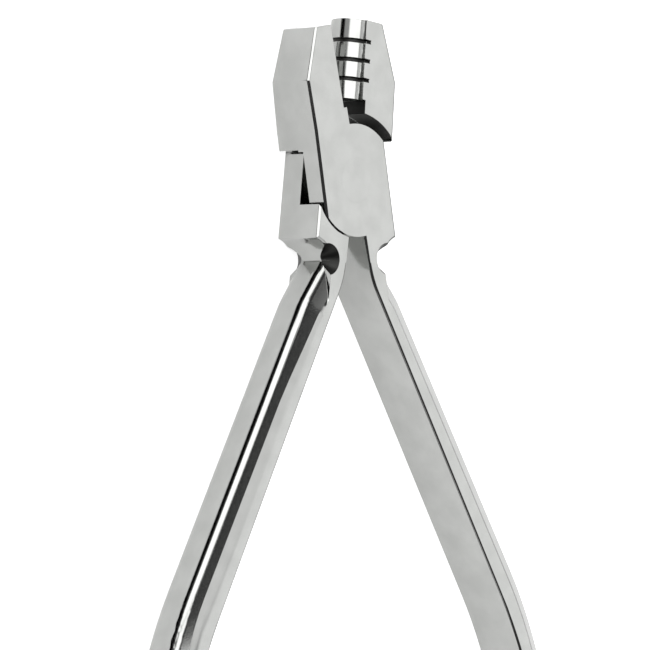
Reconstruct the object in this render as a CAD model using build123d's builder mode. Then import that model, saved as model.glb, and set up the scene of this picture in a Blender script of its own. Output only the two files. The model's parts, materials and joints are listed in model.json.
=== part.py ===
"""Lap-joint orthodontic contouring pliers: two forged levers on one flush rivet.

Millimetres, +Z up. The pliers lie flat. The origin is on the rivet's axis, in the plane of the back face,
and +Y runs towards the beak tips. Each lever is drawn closed, along +Y, and then swung open.
"""
import os
from math import atan, cos, degrees, radians, tan

from build123d import *

# Joint
joint_thickness = 8.6
joint_half_width = 7.5
lap_clearance = 0.04          # between the two lap faces
front_disc_radius = 8.6       # free end of the front half-plate
back_disc_radius = 8.1        # free end of the rear half-plate
front_beak_relief = 1.75      # gap above the front half-plate, under the grooved beak
back_beak_relief = 1.35       # gap above the rear half-plate, under the trough beak
slot_height = 1.0             # slot between the half-plates, at their sides
slot_top = 5.5                # height at which it starts
slot_depth = 2.2              # from the joint's side
handle_relief = 0.3           # gap below a half-plate, at the other lever's handle
edge_chamfer = 0.3            # ground outer edges of joint and beaks
edge_round = 0.7              # outer edges on the side where each lever is rounded off
open_angle = 17.5             # beak angle as the pliers lie

# Rivet
rivet_radius = 2.4
rivet_head_radius = 3.4
rivet_head_height = 1.0
rivet_seat = 0.01             # front lever, where the rivet is peened tight
rivet_running = 0.04          # rear lever, which turns on the rivet

# Beaks
trough_beak_length = 23.9     # rivet axis to tip
former_beak_length = 24.7
beak_bulge = 16.3             # height at which the outer side starts to taper
beak_tip_width = 4.0          # outer side to closing line, at the tip
beak_tip_thickness = 7.2
beak_taper_start = 8.6        # height at which the joint's thickness starts to run down
trough_rim_setback = 0.7      # trough rim to closing line
trough_foot = 11.2            # lower end of the trough
trough_gap = 0.35             # between former and trough, closed
former_radius = 3.3           # round former of the grooved beak
former_rise = 2.6             # former's crown to closing line
former_foot = 12.4            # lower end of the former
former_undercut = 0.6         # grooved beak's root to closing line

# Wire grooves round the former
groove_count = 3
groove_pitch = 2.97
groove_first = 3.3            # tip to the first groove's centre
groove_width = 0.6
groove_depth = 0.5
groove_reach = 1.2            # how far a groove runs past the closing line

# Handles
handle_lean = 21.0            # degrees from the closing line
handle_end = 95.0             # rivet axis to the handle's end, closed
handle_crotch = 0.3           # closing line to inner face, at the joint
handle_crotch_end = 15.5      # depth at which the inner face turns outwards
handle_crotch_lean = 4.0      # degrees, inner face beside the joint
handle_neck_width = 3.9       # closing line to outer side, where the joint runs into the handle
handle_root_leg = 6.7         # length from the neck to where the handle has its root width
handle_root_width = 5.1
handle_grip_width = 6.0
handle_end_width = 4.4
handle_end_leg = 20.0         # length of the end that turns back inwards
handle_end_lean = 10.0
facet_width = 3.1             # sloping facets of front and back, on the outer side
facet_drop = 1.7
handle_outer_round = 2.1
handle_inner_round = 0.4
shoulder_depth = 10.0         # depth of the joint's lower corner
neck_depth = 12.8             # depth at which the joint has run into the handle
scoop_offset = 0.8            # outside the neck
scoop_radius = 2.4            # round run-out of the sloping facet, sunk into the shoulder
scoop_floor_radius = 0.5
scoop_depth = 2.6
bend_radius = 70.0
crotch_radius = 14.0
end_bulge = 1.4               # round of the handle's end, seen from the front
end_radius = 2.6              # seen from the side

lap_height = joint_thickness / 2
margin = 5.0                  # how far cutters pass the solid


def slanted(start, lean, depth):
    """Point at a depth below the rivet, along a line that leans outwards by an angle."""
    return (start[0] + (start[1] + depth) * tan(radians(lean)), -depth)


def handle_profile():
    """Outline of one handle on the right-hand side, from inside the joint to its end."""
    across = 1 / cos(radians(handle_lean))
    inner_top = (handle_crotch, -front_disc_radius)
    inner_turn = slanted(inner_top, handle_crotch_lean, handle_crotch_end)
    inner_bend = slanted(inner_turn, handle_lean, handle_end - handle_end_leg)
    inner_end = slanted(inner_bend, handle_end_lean, handle_end)
    inner_root = slanted(inner_turn, handle_lean, neck_depth + handle_root_leg)
    neck = (handle_neck_width, -neck_depth)
    outer_root = (inner_root[0] + handle_root_width * across, inner_root[1])
    outer_bend = (inner_bend[0] + handle_grip_width * across, inner_bend[1])
    outer_end = (inner_end[0] + handle_end_width, inner_end[1])
    end_middle = (inner_end[0] + handle_end_width / 2, inner_end[1] - end_bulge)
    with BuildSketch() as profile:
        with BuildLine():
            Polyline(
                outer_end, outer_bend, outer_root, neck, (neck[0], 0), (handle_crotch, 0),
                inner_top, inner_turn, inner_bend, inner_end,
            )
            ThreePointArc(inner_end, end_middle, outer_end)
        make_face()
        rounding = [
            (inner_turn, crotch_radius), (outer_root, crotch_radius),
            (inner_bend, bend_radius), (outer_bend, bend_radius),
        ]
        for point, radius in rounding:
            corner = profile.vertices().sort_by_distance(Vector(*point))[0]
            fillet(corner, radius)
    return profile.sketch, neck


def handle_part():
    """One handle: flat inner face, front and back sloping down to a narrower outer side with round edges."""
    sketch, neck = handle_profile()
    with BuildPart() as handle:
        add(sketch)
        extrude(amount=joint_thickness)
        for side in (-1, 0):
            flat = handle.faces().filter_by(Axis.Z).sort_by(Axis.Z)[side]
            slope_edges = long_edges(outer_sides(handle)).filter_by(lambda edge: edge in flat.edges())
            chamfer(slope_edges, facet_width, facet_drop, reference=flat)
        fillet(long_edges(outer_sides(handle)), handle_outer_round)
        inner_sides = below_neck(handle).filter_by(lambda face: face.normal_at().X < -0.5)
        fillet(long_edges(inner_sides), handle_inner_round)
        # End rounded off, as seen from the side
        with BuildSketch(Plane.YZ) as side_view:
            with Locations(((margin - handle_end - end_bulge) / 2, lap_height)):
                Rectangle(handle_end + end_bulge + margin, joint_thickness)
            fillet(side_view.vertices().group_by(Axis.X)[0], end_radius)
        extrude(amount=handle_end, both=True, mode=Mode.INTERSECT)
    return handle.part, neck


def below_neck(handle):
    """Faces of the handle's free length."""
    return handle.faces().filter_by(lambda face: face.center().Y < -neck_depth)


def outer_sides(handle):
    """Faces of the handle's outer side, square to its front and back."""
    return below_neck(handle).filter_by(lambda face: face.normal_at().X > 0.5 and abs(face.normal_at().Z) < 0.1)


def long_edges(faces):
    """Edges that run along the lever, not through its thickness."""
    return faces.edges().filter_by(lambda edge: abs(edge.tangent_at(0.5).Z) < 0.5)


def beak_part(beak_inner):
    """Beak on the left of the closing line, run down in thickness towards its tip, outer edges broken."""
    beak_length = beak_inner[0][1]
    run_down = (joint_thickness - beak_tip_thickness) / 2
    tip_back, tip_front = (beak_length, run_down), (beak_length, joint_thickness - run_down)
    with BuildPart() as beak:
        with BuildSketch():
            with BuildLine():
                Polyline(
                    (beak_inner[-1][0], 0), (-joint_half_width, 0), (-joint_half_width, beak_bulge),
                    (-beak_tip_width, beak_length), *beak_inner, close=True,
                )
            make_face()
        extrude(amount=joint_thickness)
        with BuildSketch(Plane.YZ.offset(-joint_half_width - margin)):
            with BuildLine():
                Polyline(
                    (-margin, 0), (beak_taper_start, 0), tip_back, tip_front,
                    (beak_taper_start, joint_thickness), (-margin, joint_thickness), close=True,
                )
            make_face()
        extrude(amount=2 * (joint_half_width + margin), mode=Mode.INTERSECT)
        sides = beak.faces().filter_by(lambda face: face.normal_at().X < -0.5)
        back, front = long_edges(sides).group_by(lambda edge: edge.center().Z > lap_height)
        chamfer(front, edge_chamfer)
        fillet(back, edge_round)
    return beak.part


def half_plate_part(disc_radius):
    """Front half of the joint: a strip with broken side edges, its free ends turned to the disc radius."""
    half_height = lap_height - lap_clearance / 2
    lap_face = Plane.XY.offset(joint_thickness - half_height)
    with BuildPart() as plate:
        with BuildSketch(lap_face):
            Rectangle(2 * joint_half_width, 2 * disc_radius + margin)
        extrude(amount=half_height)
        top = plate.faces().sort_by(Axis.Z)[-1]
        left, right = top.edges().filter_by(Axis.Y).sort_by(Axis.X)
        chamfer(left, edge_chamfer)
        fillet(right, edge_round)
        with BuildSketch(lap_face):
            Circle(disc_radius)
        extrude(amount=half_height, mode=Mode.INTERSECT)
    return plate.part


def shoulder_part(neck):
    """Full-thickness block between the joint's side and the handle, with a hollowed lower corner."""
    corner = (joint_half_width, -shoulder_depth)
    hollow = ((neck[0] * 3 + corner[0]) / 4, (neck[1] + corner[1]) / 2)
    inner = (neck[0] - facet_width, neck[1])
    with BuildPart() as shoulder:
        with BuildSketch():
            with BuildLine():
                Polyline(inner, (handle_crotch, 0), (joint_half_width, 0), corner)
                ThreePointArc(corner, hollow, neck)
                Line(neck, inner)
            make_face()
        extrude(amount=joint_thickness)
        sides = shoulder.faces().filter_by(lambda face: face.normal_at().X > 0.5)
        back, front = long_edges(sides).group_by(lambda edge: edge.center().Z > lap_height)
        chamfer(back, edge_chamfer)
        fillet(front, edge_round)
    return shoulder.part


def lever_blank(disc_radius, other_radius, beak_relief, beak_inner, rivet_gap):
    """A lever without its working face: beak on the left, half-plate in front, handle on the right."""
    handle, neck = handle_part()
    beak = beak_part(beak_inner)
    plate = half_plate_part(disc_radius)
    shoulder = shoulder_part(neck)
    slot_rise = lap_height + slot_height
    scoop = (neck[0] + scoop_offset, neck[1])
    sink_angle = 2 * degrees(atan((rivet_head_radius - rivet_radius) / rivet_head_height))
    with BuildPart() as blank:
        add(beak)
        add(shoulder)
        add(handle)
        with Locations((*scoop, joint_thickness - scoop_depth / 2)):
            Cone(scoop_floor_radius, scoop_radius, scoop_depth, mode=Mode.SUBTRACT)
        with Locations((*scoop, scoop_depth / 2)):
            Cone(scoop_radius, scoop_floor_radius, scoop_depth, mode=Mode.SUBTRACT)
        # Room behind the half-plate for the other lever's plate
        for reach, facing in ((other_radius + beak_relief, 1), (other_radius + handle_relief, -1)):
            with BuildSketch():
                Circle(reach)
                with Locations((0, -facing * reach)):
                    Rectangle(2 * reach + margin, 2 * reach, mode=Mode.SUBTRACT)
            extrude(amount=lap_height + lap_clearance / 2, mode=Mode.SUBTRACT)
        add(plate)
        with BuildSketch(Plane.YZ.offset(slot_depth - joint_half_width)):
            with BuildLine():
                Polyline(
                    (slot_top, lap_height), (-disc_radius, lap_height), (-disc_radius, slot_rise),
                    (slot_top, slot_rise), close=True,
                )
            make_face()
        extrude(amount=-slot_depth - margin, mode=Mode.SUBTRACT)
        with Locations((0, 0, joint_thickness)):
            CounterSinkHole(rivet_radius + rivet_gap, rivet_head_radius + rivet_gap, counter_sink_angle=sink_angle)
    return blank.part


def trough_lever_part():
    """Front lever: its beak is hollowed lengthways to take the former."""
    inner = [(-trough_rim_setback, trough_beak_length), (-trough_rim_setback, trough_foot), (0, trough_foot)]
    blank = lever_blank(front_disc_radius, back_disc_radius, back_beak_relief, inner, rivet_seat)
    with BuildPart() as lever:
        add(blank)
        with BuildSketch(Plane.XZ.offset(-trough_beak_length - margin)):
            with Locations((former_radius - former_rise, lap_height)):
                Circle(former_radius + trough_gap)
        extrude(amount=trough_beak_length + margin - trough_foot, mode=Mode.SUBTRACT)
    return lever.part


def grooved_lever_part():
    """Rear lever, drawn like the front one: its beak carries the round former with the wire grooves."""
    inner = [(0, former_beak_length), (0, former_foot), (-former_undercut, former_foot)]
    blank = lever_blank(back_disc_radius, front_disc_radius, front_beak_relief, inner, rivet_running)
    former_centre = (former_rise - former_radius, lap_height)
    with BuildPart() as lever:
        add(blank)
        with BuildSketch(Plane.XZ.offset(-former_beak_length)):
            with Locations(former_centre):
                Circle(former_radius)
            with Locations((former_rise - 2 * former_radius - margin, lap_height)):
                Rectangle(2 * margin, 4 * former_radius, mode=Mode.SUBTRACT)
        extrude(amount=former_beak_length - former_foot)
        for groove in range(groove_count):
            centre = former_beak_length - groove_first - groove * groove_pitch
            with BuildSketch(Plane.XZ.offset(-centre)):
                with Locations(former_centre):
                    Circle(former_radius + margin)
                    Circle(former_radius - groove_depth, mode=Mode.SUBTRACT)
                with Locations((-groove_reach - 2 * margin, lap_height)):
                    Rectangle(4 * margin, 8 * margin, mode=Mode.SUBTRACT)
            extrude(amount=groove_width / 2, both=True, mode=Mode.SUBTRACT)
    return lever.part


def rivet_part():
    """Pivot rivet with a peened, countersunk head at each end, ground flush with both faces."""
    with BuildPart() as rivet:
        with BuildSketch(Plane.XZ):
            with BuildLine():
                Polyline(
                    (0, 0), (rivet_head_radius, 0), (rivet_radius, rivet_head_height),
                    (rivet_radius, joint_thickness - rivet_head_height),
                    (rivet_head_radius, joint_thickness), (0, joint_thickness), close=True,
                )
            make_face()
        revolve(axis=Axis.Z)
    return rivet.part


os.makedirs("parts", exist_ok=True)
middle = Axis((0, 0, lap_height), (0, 1, 0))
pieces = {
    "trough_lever": trough_lever_part().rotate(Axis.Z, open_angle / 2),
    "grooved_lever": grooved_lever_part().rotate(middle, 180).rotate(Axis.Z, -open_angle / 2),
    "pivot_rivet": rivet_part(),
}
for name, piece in pieces.items():
    piece.label = name
    export_step(piece, f"parts/{name}.step")
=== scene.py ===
import json
import math

import bmesh
import bpy
import numpy as np
from mathutils import Matrix, Vector

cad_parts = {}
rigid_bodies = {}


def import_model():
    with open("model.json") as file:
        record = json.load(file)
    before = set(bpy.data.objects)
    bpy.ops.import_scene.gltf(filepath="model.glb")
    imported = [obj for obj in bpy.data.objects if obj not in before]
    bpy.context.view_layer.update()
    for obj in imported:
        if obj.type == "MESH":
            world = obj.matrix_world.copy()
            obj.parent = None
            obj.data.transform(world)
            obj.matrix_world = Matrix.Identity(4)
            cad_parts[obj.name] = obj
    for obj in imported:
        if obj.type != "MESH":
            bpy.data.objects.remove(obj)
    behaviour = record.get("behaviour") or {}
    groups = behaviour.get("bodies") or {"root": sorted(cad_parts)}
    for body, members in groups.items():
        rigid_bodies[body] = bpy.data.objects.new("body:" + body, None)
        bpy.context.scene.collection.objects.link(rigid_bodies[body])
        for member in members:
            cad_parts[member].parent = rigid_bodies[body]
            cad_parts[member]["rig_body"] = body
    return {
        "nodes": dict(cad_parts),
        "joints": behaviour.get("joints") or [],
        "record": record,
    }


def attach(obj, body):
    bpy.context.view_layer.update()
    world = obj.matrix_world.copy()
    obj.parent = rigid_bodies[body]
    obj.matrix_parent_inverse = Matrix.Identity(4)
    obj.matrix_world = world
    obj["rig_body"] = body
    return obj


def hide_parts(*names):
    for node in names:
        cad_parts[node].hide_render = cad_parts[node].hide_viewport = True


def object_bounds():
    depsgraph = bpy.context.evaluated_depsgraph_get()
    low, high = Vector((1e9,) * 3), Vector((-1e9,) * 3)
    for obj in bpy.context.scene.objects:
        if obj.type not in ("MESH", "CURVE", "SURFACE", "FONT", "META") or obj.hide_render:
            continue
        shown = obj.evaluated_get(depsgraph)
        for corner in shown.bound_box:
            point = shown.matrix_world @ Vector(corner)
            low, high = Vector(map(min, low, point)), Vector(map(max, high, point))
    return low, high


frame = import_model()
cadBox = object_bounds()
mm = 0.001
pivot = Vector(frame["joints"][0]["pos_m"])
grooves = [mount for mount in frame["record"]["mounts"] if mount["name"] == "wire_grooves"][0]
print("frame loaded:", sorted(frame["nodes"]))


# sRGB hex colour to linear light, with alpha
def linear(hexColour):
    parts = [int(hexColour[i:i + 2], 16) / 255 for i in (1, 3, 5)]
    return (*[c / 12.92 if c <= 0.04045 else ((c + 0.055) / 1.055) ** 2.4 for c in parts], 1.0)


# one node with its settings; feeds are sockets to link from or plain values to set
def addNode(tree, kind, feeds=None, **settings):
    made = tree.nodes.new(kind)
    for name, value in settings.items():
        setattr(made, name, value)
    for socket, source in (feeds or {}).items():
        if isinstance(source, bpy.types.NodeSocket):
            tree.links.new(source, made.inputs[socket])
        else:
            made.inputs[socket].default_value = source
    return made


def newMaterial(name):
    material = bpy.data.materials.new(name)
    material.use_nodes = True
    material.node_tree.nodes.clear()
    return material, material.node_tree


# camera: the long axis points up in the picture, the view is turned to the left of the front face
cameraView = {
    "turn": 46.95,             # degrees from the front face's normal
    "roll": -1.15,             # degrees about the line of sight
    "lens": 300.0,
    "sensor": 36.0,
    "photoSide": 650,          # pixels
    "pixelsPerMm": 6.578,
    "pivotPixel": (335.96, 181.02),
    "clip": (0.01, 20.0),      # metres
}


def setCamera(view):
    turn = math.radians(view["turn"])
    roll = math.radians(view["roll"])
    level = Vector((math.cos(turn), 0, math.sin(turn)))
    right = level * math.cos(roll) + Vector((0, math.sin(roll), 0))
    up = Vector((0, math.cos(roll), 0)) - level * math.sin(roll)
    back = right.cross(up)
    half = view["photoSide"] / 2
    across = (half - view["pivotPixel"][0]) / view["pixelsPerMm"] * mm
    along = (view["pivotPixel"][1] - half) / view["pixelsPerMm"] * mm
    width = view["photoSide"] / view["pixelsPerMm"] * mm
    distance = width * view["lens"] / view["sensor"]
    data = bpy.data.cameras.new("photoCamera")
    data.lens, data.sensor_width = view["lens"], view["sensor"]
    data.clip_start, data.clip_end = view["clip"]
    camera = bpy.data.objects.new("photoCamera", data)
    place = pivot + right * across + up * along + back * distance
    camera.matrix_world = Matrix.Translation(place) @ Matrix((right, up, back)).transposed().to_4x4()
    bpy.context.scene.collection.objects.link(camera)
    bpy.context.scene.camera = camera
    print("camera set")


setCamera(cameraView)


# Stainless steel, ground and then satin finished: an even light grey sheen with clear, slightly
# soft reflections, a little cloudy, with a fine grain.
satinSteel = {
    "colour": ("#afb0ae", "#b6b7b5"),
    "cloudMm": 4.0,
    "cloudRange": (0.35, 0.65),
    "roughness": (0.10, 0.16),
    "grainMm": 0.22,           # coarser than the real grit, so that it shows
    "grainRange": (0.3, 0.7),
    "bumpMm": 0.0015,
    "bumpStrength": 0.3,
    "paintedShade": "#3c3c3b",   # painted shade: recess faces, darker than the steel
    "paintedShadeRoughness": 0.42,
}


def steelMaterial(name, finish):
    material, tree = newMaterial(name)
    place = addNode(tree, "ShaderNodeTexCoord").outputs["Object"]
    grain = addNode(tree, "ShaderNodeTexNoise", {
        "Vector": place, "Scale": 1 / (finish["grainMm"] * mm), "Detail": 2.0})
    cloud = addNode(tree, "ShaderNodeTexNoise", {
        "Vector": place, "Scale": 1 / (finish["cloudMm"] * mm), "Detail": 3.0})
    rough = addNode(tree, "ShaderNodeMapRange", {
        "Value": grain.outputs["Fac"],
        "From Min": finish["grainRange"][0], "From Max": finish["grainRange"][1],
        "To Min": finish["roughness"][0], "To Max": finish["roughness"][1]})
    patch = addNode(tree, "ShaderNodeMapRange", {
        "Value": cloud.outputs["Fac"],
        "From Min": finish["cloudRange"][0], "From Max": finish["cloudRange"][1]})
    tone = addNode(tree, "ShaderNodeMix", {
        "Factor": patch.outputs["Result"],
        6: linear(finish["colour"][0]), 7: linear(finish["colour"][1])}, data_type="RGBA")
    # painted shade: the recess faces take the dark colour
    shadeMask = addNode(tree, "ShaderNodeAttribute", attribute_name="paintedShade").outputs["Fac"]
    tone = addNode(tree, "ShaderNodeMix", {
        "Factor": shadeMask, 6: tone.outputs[2], 7: linear(finish["paintedShade"])}, data_type="RGBA")
    rough = addNode(tree, "ShaderNodeMix", {
        "Factor": shadeMask, 2: rough.outputs["Result"], 3: finish["paintedShadeRoughness"]})
    bump = addNode(tree, "ShaderNodeBump", {
        "Height": grain.outputs["Fac"],
        "Strength": finish["bumpStrength"], "Distance": finish["bumpMm"] * mm})
    steel = addNode(tree, "ShaderNodeBsdfPrincipled", {
        "Base Color": tone.outputs[2], "Metallic": 1.0,
        "Roughness": rough.outputs[0], "Normal": bump.outputs["Normal"]})
    addNode(tree, "ShaderNodeOutputMaterial", {"Surface": steel.outputs["BSDF"]})
    return material


# Edges between two faces of a solid are broken by a narrow bevel, and the edges between a handle's
# flats and its sloping facets by a wider one. Nothing is broken beside the flush rivet, or in the
# crotch between the handles.
edgeFinish = {
    "mergeMm": 0.0005,
    "flatAngle": 0.3,          # degrees, faces that lie in one plane
    "sharpAngle": 12.0,
    "edgeBreak": 0.05,         # mm
    "facetBreak": 0.15,        # mm
    "segments": 3,
    "facetAngles": (27.0, 31.0),
    "flatFacing": 0.999,       # least Z of a flat's normal
    "facetOutward": 0.2,       # least share of a facet's normal that points outwards
    "facetCuts": (22.5, 25.0, 27.5, 30.0, 33.0),   # mm below the rivet, where the wide break sets in
    "facetFade": (62.0, 78.0),     # and where it fades out, along the bend
    "flushRadius": 3.9,        # mm about the rivet's axis
    "crotchDepths": (6.5, 14.0),   # mm below the rivet
    "crotchHalf": 3.6,         # mm from the closing line
}
rubbedFinish = dict(edgeFinish, facetBreak=2.2)   # the left handle is rubbed over wide


def readAll(items, name, kind, size=1):
    values = np.empty(len(items) * size, kind)
    items.foreach_get(name, values)
    return values.reshape(-1, size) if size > 1 else values


def addAttribute(mesh, name, kind, domain, values):
    mesh.attributes.new(name, kind, domain).data.foreach_set("value", values)


# copy of a node's loose triangles, merged into whole faces and cut across the handle
def mergedMesh(node, pieceName, finish):
    mesh = frame["nodes"][node].data.copy()
    mesh.name = pieceName
    # a face's border shows as edges with one triangle, before the merge
    uses = np.bincount(readAll(mesh.loops, "edge_index", np.int32), minlength=len(mesh.edges))
    addAttribute(mesh, "faceBorder", "FLOAT", "EDGE", (uses == 1).astype(np.float32))
    work = bmesh.new()
    work.from_mesh(mesh)
    bmesh.ops.remove_doubles(work, verts=work.verts, dist=finish["mergeMm"] * mm)
    bmesh.ops.dissolve_limit(
        work, angle_limit=math.radians(finish["flatAngle"]), verts=work.verts, edges=work.edges)
    for cut in finish["facetCuts"]:
        bmesh.ops.bisect_plane(
            work, geom=[*work.verts, *work.edges, *work.faces],
            plane_co=(0, pivot.y - cut * mm, 0), plane_no=(0, 1, 0))
    work.to_mesh(mesh)
    work.free()
    if mesh.has_custom_normals:
        mesh.attributes.remove(mesh.attributes["custom_normal"])
    return mesh


# bevel weight of each edge, from the angle between its two faces and from where its middle lies
def weighEdges(mesh, finish):
    faces = np.repeat(np.arange(len(mesh.polygons)), readAll(mesh.polygons, "loop_total", np.int32))
    order = np.argsort(readAll(mesh.loops, "edge_index", np.int32), kind="stable")
    normals = readAll(mesh.polygons, "normal", np.float32, 3)[faces[order].reshape(-1, 2)]
    angles = np.degrees(np.arccos(np.clip((normals[:, 0] * normals[:, 1]).sum(1), -1, 1)))
    points = readAll(mesh.vertices, "co", np.float32, 3)
    middles = points[readAll(mesh.edges, "vertices", np.int32, 2)].mean(1)
    side, down = np.abs(middles[:, 0] - pivot.x), pivot.y - middles[:, 1]

    border = readAll(mesh.attributes["faceBorder"].data, "value", np.float32) > 0.5
    sharp = border & (angles > finish["sharpAngle"])
    broken = sharp & (np.hypot(side, down) > finish["flushRadius"] * mm)
    top, bottom = [d * mm for d in finish["crotchDepths"]]
    broken &= ~((side < finish["crotchHalf"] * mm) & (down > top) & (down < bottom))

    # facet edges have a flat on one side and slope outwards on the other
    low, high = finish["facetAngles"]
    facet = broken & (angles > low) & (angles < high)
    facet &= np.abs(normals[:, :, 2]).max(1) > finish["flatFacing"]
    facet &= (normals[:, :, 0] * np.sign(middles[:, :1])).max(1) > finish["facetOutward"]
    narrow = finish["edgeBreak"] / finish["facetBreak"]
    ramp = np.array((finish["facetCuts"][0], finish["facetCuts"][-1], *finish["facetFade"])) * mm
    rubbed = np.interp(down, ramp, (narrow, 1.0, 1.0, narrow)) * (down < ramp[-1])
    weights = np.where(facet, rubbed, np.where(broken, narrow, 0.0))
    addAttribute(mesh, "bevel_weight_edge", "FLOAT", "EDGE", weights.astype(np.float32))
    addAttribute(mesh, "sharp_edge", "BOOLEAN", "EDGE", sharp)
    mesh.attributes.remove(mesh.attributes["faceBorder"])
    print(mesh.name, "has", int(sharp.sum()), "sharp and", int(facet.sum()), "facet edges")


# Painted shade: faces in recesses get a dark colour and a rougher finish. They are hollow walls that face
# the rivet's axis, beak roots that face the closing line, wire grooves, which lie about the former's axis,
# and the scoops above the handles.
paintedShadePlaces = {
    "facing": 0.9,             # how squarely a wall faces its axis or line
    "reliefRadii": (7.9, 10.8),    # mm about the rivet's axis
    "rootRadius": 12.8,        # mm about the rivet's axis
    "rootHalf": 3.5,           # mm from the closing line
    "formerRadius": 3.3,
    "grooveFloor": 2.95,       # mm from the former's axis
    "groovedHalf": 5.0,        # mm to each side of the middle groove
    "grooveFacing": 0.95,      # how squarely a groove's walls stand across the former
    "scoopPlace": (6.59, 11.94),   # mm beside and below the rivet
    "scoopRadius": 2.5,
    "scoopSlope": (0.45, 0.75),    # Z of the scoop's normals
}


def markPaintedShade(mesh, places):
    centres = readAll(mesh.polygons, "center", np.float32, 3) - np.array(pivot)
    normals = readAll(mesh.polygons, "normal", np.float32, 3)
    facing = places["facing"]
    x, y = centres[:, 0], centres[:, 1]
    spread = np.hypot(x, y)
    outward = (normals[:, :2] * centres[:, :2]).sum(1) / np.maximum(spread, 1e-9)
    near, away = [r * mm for r in places["reliefRadii"]]
    hollow = (outward < -facing) & (spread > near) & (spread < away)

    root = (-np.sign(x) * normals[:, 0] > facing) & (y > 0)
    root &= (spread < places["rootRadius"] * mm) & (np.abs(x) < places["rootHalf"] * mm)

    outOf = np.array(grooves["axis"])
    along = np.cross((0, 0, 1), outOf)
    crown = np.array(grooves["pos_m"]) - np.array(pivot)
    fromAxis = centres - crown + outOf * places["formerRadius"] * mm
    depth = np.hypot(fromAxis @ outOf, fromAxis[:, 2])
    wall = (depth < 2 * places["formerRadius"] * mm) & (np.abs(normals @ along) > places["grooveFacing"])
    bed = (depth < places["grooveFloor"] * mm) & ((normals * fromAxis).sum(1) > facing * depth)
    groove = (wall | bed) & (np.abs(fromAxis @ along) < places["groovedHalf"] * mm)

    # both scoops at once, mirrored to one side
    fromScoop = np.column_stack((np.abs(x), -y)) - np.array(places["scoopPlace"]) * mm
    gentle, steep = places["scoopSlope"]
    slope = np.abs(normals[:, 2])
    scoop = (np.hypot(*fromScoop.T) < places["scoopRadius"] * mm) & (slope > gentle) & (slope < steep)
    scoop &= normals[:, 0] * np.sign(x) * fromScoop[:, 0] - normals[:, 1] * fromScoop[:, 1] < 0
    # mask of the faces that get painted shade
    addAttribute(mesh, "paintedShade", "FLOAT", "FACE", (hollow | root | groove | scoop).astype(np.float32))


def finishedCopy(node, material, finish):
    pieceName = node + "_finished"
    mesh = mergedMesh(node, pieceName, finish)
    mesh.shade_smooth()
    weighEdges(mesh, finish)
    markPaintedShade(mesh, paintedShadePlaces)
    mesh.materials.clear()
    mesh.materials.append(material)
    piece = bpy.data.objects.new(pieceName, mesh)
    bpy.context.scene.collection.objects.link(piece)
    bevel = piece.modifiers.new("edgeBreak", "BEVEL")
    bevel.width = finish["facetBreak"] * mm
    bevel.segments = finish["segments"]
    bevel.limit_method = "WEIGHT"
    bevel.use_clamp_overlap = False
    flats = piece.modifiers.new("flatFaces", "WEIGHTED_NORMAL")   # large faces keep their own normals
    flats.keep_sharp = True
    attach(piece, frame["nodes"][node]["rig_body"])
    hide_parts(node)
    print(pieceName, "made")


satin = steelMaterial("satin_stainless_steel", satinSteel)
finishedCopy("trough_lever", satin, edgeFinish)
finishedCopy("grooved_lever", satin, rubbedFinish)
finishedCopy("pivot_rivet", satin, edgeFinish)


# White paper floor. It is white to the eye and light grey in the steel. On the left it is painted black
# for the steel's reflected rays that travel far, a painted dark reflection which gives the handle's dark
# line.
paperFloor = {
    "half": 1.2,               # metres
    "dropMm": 0.02,
    "colour": "#e8e8e8",
    "seen": 0.9,               # glow for the eye, besides the floor's lit colour
    "mirrored": 0.62,          # and for the steel
    "leftMm": -10.0,           # from the closing line to where the left counts in full
    "darkRayMm": (12.8, 16.0),    # length of reflected rays over which it goes dark
}


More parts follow.
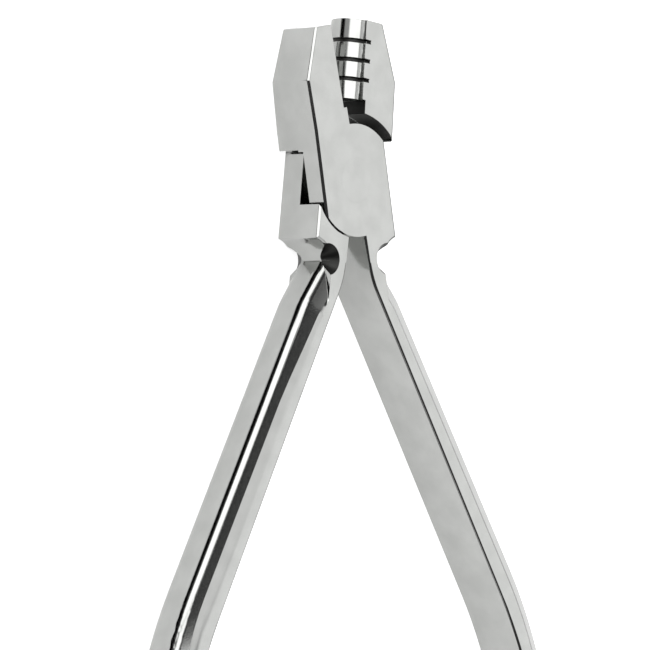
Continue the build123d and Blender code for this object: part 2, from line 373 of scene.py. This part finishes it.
def makeFloor(values):
    material, tree = newMaterial("white_paper_floor")
    path = addNode(tree, "ShaderNodeLightPath")
    place = addNode(tree, "ShaderNodeTexCoord").outputs["Object"]
    # painted dark reflection: on the left, the floor turns black to the steel's longer reflected rays
    side = addNode(tree, "ShaderNodeMapRange", {
        "Value": addNode(tree, "ShaderNodeSeparateXYZ", {"Vector": place}).outputs["X"],
        "From Min": 0.0, "From Max": values["leftMm"] * mm})
    far = addNode(tree, "ShaderNodeMapRange", {
        "Value": path.outputs["Ray Length"],
        "From Min": values["darkRayMm"][0] * mm, "From Max": values["darkRayMm"][1] * mm})
    dark = addNode(tree, "ShaderNodeMath", {
        0: side.outputs["Result"], 1: far.outputs["Result"]}, operation="MULTIPLY")
    dark = addNode(tree, "ShaderNodeMath", {
        0: dark.outputs[0], 1: path.outputs["Is Glossy Ray"]}, operation="MULTIPLY")
    undarkened = addNode(tree, "ShaderNodeMath", {0: 1.0, 1: dark.outputs[0]}, operation="SUBTRACT")
    mirrored = addNode(tree, "ShaderNodeMath", {
        0: path.outputs["Is Glossy Ray"], 1: path.outputs["Is Transmission Ray"]}, operation="MAXIMUM")
    glow = addNode(tree, "ShaderNodeMath", {
        0: mirrored.outputs[0], 1: values["mirrored"]}, operation="MULTIPLY")
    glow = addNode(tree, "ShaderNodeMath", {0: glow.outputs[0], 1: undarkened.outputs[0]}, operation="MULTIPLY")
    glow = addNode(tree, "ShaderNodeMath", {
        0: path.outputs["Is Camera Ray"], 1: values["seen"], 2: glow.outputs[0]}, operation="MULTIPLY_ADD")
    tone = addNode(tree, "ShaderNodeMix", {
        "Factor": dark.outputs[0], 6: linear(values["colour"]), 7: linear("#000000")}, data_type="RGBA")
    paper = addNode(tree, "ShaderNodeBsdfDiffuse", {"Color": tone.outputs[2]})
    light = addNode(tree, "ShaderNodeEmission", {"Strength": glow.outputs[0]})
    both = addNode(tree, "ShaderNodeAddShader", {0: paper.outputs[0], 1: light.outputs[0]})
    addNode(tree, "ShaderNodeOutputMaterial", {"Surface": both.outputs[0]})

    h = values["half"]
    z = cadBox[0].z - values["dropMm"] * mm
    mesh = bpy.data.meshes.new("floor")
    mesh.from_pydata([(-h, -h, z), (h, -h, z), (h, h, z), (-h, h, z)], [], [(0, 1, 2, 3)])
    mesh.materials.append(material)
    floor = bpy.data.objects.new("floor", mesh)
    bpy.context.scene.collection.objects.link(floor)
    print("floor laid")


makeFloor(paperFloor)


# Studio sky. Each panel of light fills a part of it, given by where the panel's edges start and are
# full along X, Y and Z of the direction; the rest of the sky is dim.
studioSky = {
    "dim": 0.05,
    "panels": [
        # right, in the front faces
        {"level": 1.32, "edges": [("X", 0.36, 0.52), ("Y", 0.60, 0.42), ("Z", 0.25, 0.45)]},
        # upper left and overhead, in the former and the trough beak's chamfer
        {"level": 2.3, "edges": [("X", -0.30, -0.42), ("Y", 0.00, 0.08), ("Y", 0.62, 0.54),
                                 ("Z", 0.42, 0.55)]},
        {"level": 2.3, "edges": [("X", -0.42, -0.30), ("X", 0.06, -0.02), ("Y", 0.00, 0.08),
                                 ("Y", 0.33, 0.25), ("Z", 0.42, 0.55)]},
        # low on the left, in the former's side
        {"level": 0.5, "edges": [("X", -0.30, -0.42), ("Y", -0.15, 0.00), ("Y", 0.52, 0.44),
                                 ("Z", 0.02, 0.10), ("Z", 0.55, 0.42)]},
        # beyond the beaks on the left, in the left handle's round
        {"level": 2.4, "edges": [("X", -0.15, -0.28), ("Y", 0.56, 0.64), ("Z", 0.14, 0.24)]},
        # overhead to the right, in the left handle's rubbed edge
        {"level": 1.15, "edges": [("X", 0.00, 0.16), ("X", 0.52, 0.36), ("Y", 0.08, 0.13),
                                  ("Y", 0.58, 0.48), ("Z", 0.40, 0.60)]},
        # beyond the beaks and behind the handles, for other views
        {"level": 0.9, "edges": [("X", 0.05, 0.20), ("Y", 0.66, 0.76), ("Z", 0.02, 0.20)]},
        {"level": 0.9, "edges": [("Y", -0.70, -0.80), ("Z", 0.02, 0.20)]},
    ],
}


def makeSky(values):
    world = bpy.data.worlds.new("studio")
    bpy.context.scene.world = world
    world.use_nodes = True
    tree = world.node_tree
    tree.nodes.clear()
    way = addNode(tree, "ShaderNodeTexCoord").outputs["Generated"]
    axes = addNode(tree, "ShaderNodeSeparateXYZ", {"Vector": way})
    total = values["dim"]
    for panel in values["panels"]:
        share = panel["level"]
        for axis, start, full in panel["edges"]:
            edge = addNode(tree, "ShaderNodeMapRange", {
                "Value": axes.outputs[axis], "From Min": start, "From Max": full},
                interpolation_type="SMOOTHSTEP")
            share = addNode(tree, "ShaderNodeMath", {
                0: edge.outputs["Result"], 1: share}, operation="MULTIPLY").outputs[0]
        total = addNode(tree, "ShaderNodeMath", {0: share, 1: total}, operation="ADD").outputs[0]
    seen = addNode(tree, "ShaderNodeLightPath").outputs["Is Camera Ray"]   # white to the eye
    total = addNode(tree, "ShaderNodeMix", {"Factor": seen, 2: total, 3: 1.0}).outputs[0]
    sky = addNode(tree, "ShaderNodeBackground", {"Color": linear("#ffffff"), "Strength": total})
    addNode(tree, "ShaderNodeOutputWorld", {"Surface": sky.outputs[0]})
    print("sky set")


makeSky(studioSky)
bpy.context.scene.view_settings.view_transform = "Standard"
